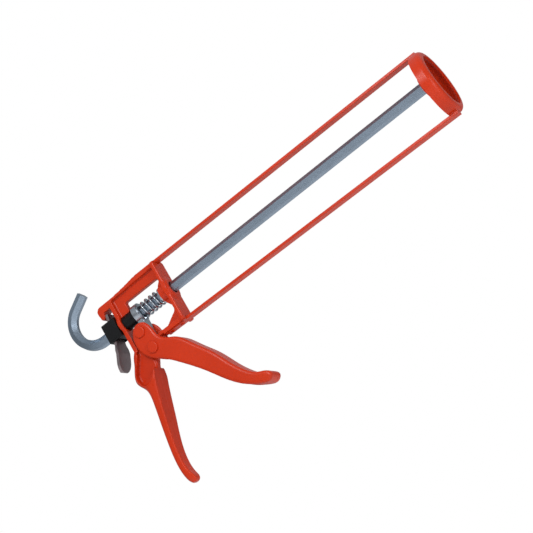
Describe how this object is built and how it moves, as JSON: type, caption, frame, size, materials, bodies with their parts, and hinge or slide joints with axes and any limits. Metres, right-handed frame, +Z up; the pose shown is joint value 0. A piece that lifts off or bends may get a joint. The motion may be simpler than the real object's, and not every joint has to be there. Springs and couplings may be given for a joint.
{
  "type": "caulking gun",
  "caption": "Skeleton caulking gun with a rail cradle, front ring, smooth hexagon push rod with ladder hook, lever trigger and thumb release.",
  "frame": {"origin": "on the push rod's axis, at the flat front face of the casting's front bulkhead", "axes": "+X forward along the push rod towards the front ring, +Z up with the handle hanging down, +Y to the gun's left"},
  "size_m": [0.3718, 0.0556, 0.1891],
  "materials": {
    "orange_paint": "powder coat, semi gloss",
    "bright_steel": "drawn hexagon bar",
    "zinc_plated": "bright zinc plating",
    "spring_steel": "ground spring wire",
    "black_moulding": "moulded, satin",
    "catch_steel": "tumbled, dark"
  },
  "bodies": {
    "frame": {"body_casting": "orange_paint", "top_rail": "orange_paint", "bottom_rail": "orange_paint", "rail_rivets": "orange_paint", "front_ring": "orange_paint", "front_washer": "zinc_plated", "return_spring": "spring_steel", "release_sleeve": "black_moulding", "catch_spring": "spring_steel"},
    "trigger": {"trigger": "orange_paint", "drive_pin": "orange_paint", "pivot_pin": "orange_paint", "pin_retainers": "zinc_plated"},
    "driver": {"driver": "zinc_plated", "spring_seat": "zinc_plated"},
    "rod": {"push_rod": "bright_steel", "plunger": "orange_paint", "plunger_washer": "zinc_plated", "plunger_nut": "zinc_plated"},
    "catch": {"catch_plate": "catch_steel"}
  },
  "joints": [
    {"name": "trigger_pivot", "type": "hinge", "parent": "frame", "child": "trigger", "pos_m": [-0.0355, 0, -0.0333], "axis": [0, 1, 0], "range_deg": [0, 40]},
    {"name": "driver_slide", "type": "slide", "parent": "frame", "child": "driver", "axis": [1, 0, 0], "range_m": [0, 0.0119], "stiffness_N_per_m": 1500, "springref_m": -0.006, "deforming": ["return_spring"]},
    {"name": "rod_slide", "type": "slide", "parent": "frame", "child": "rod", "axis": [1, 0, 0], "range_m": [-0.255, 0]},
    {"name": "catch_pivot", "type": "hinge", "parent": "frame", "child": "catch", "pos_m": [-0.0584, 0, 0.0146], "axis": [0, -1, 0], "range_deg": [0, 7], "stiffness_Nm_per_rad": 0.6, "springref_deg": -5.73, "deforming": ["catch_spring"]}
  ],
  "couplings": [
    {"joint": "driver_slide", "follows": "trigger_pivot", "m_per_rad": 0.017}
  ]
}
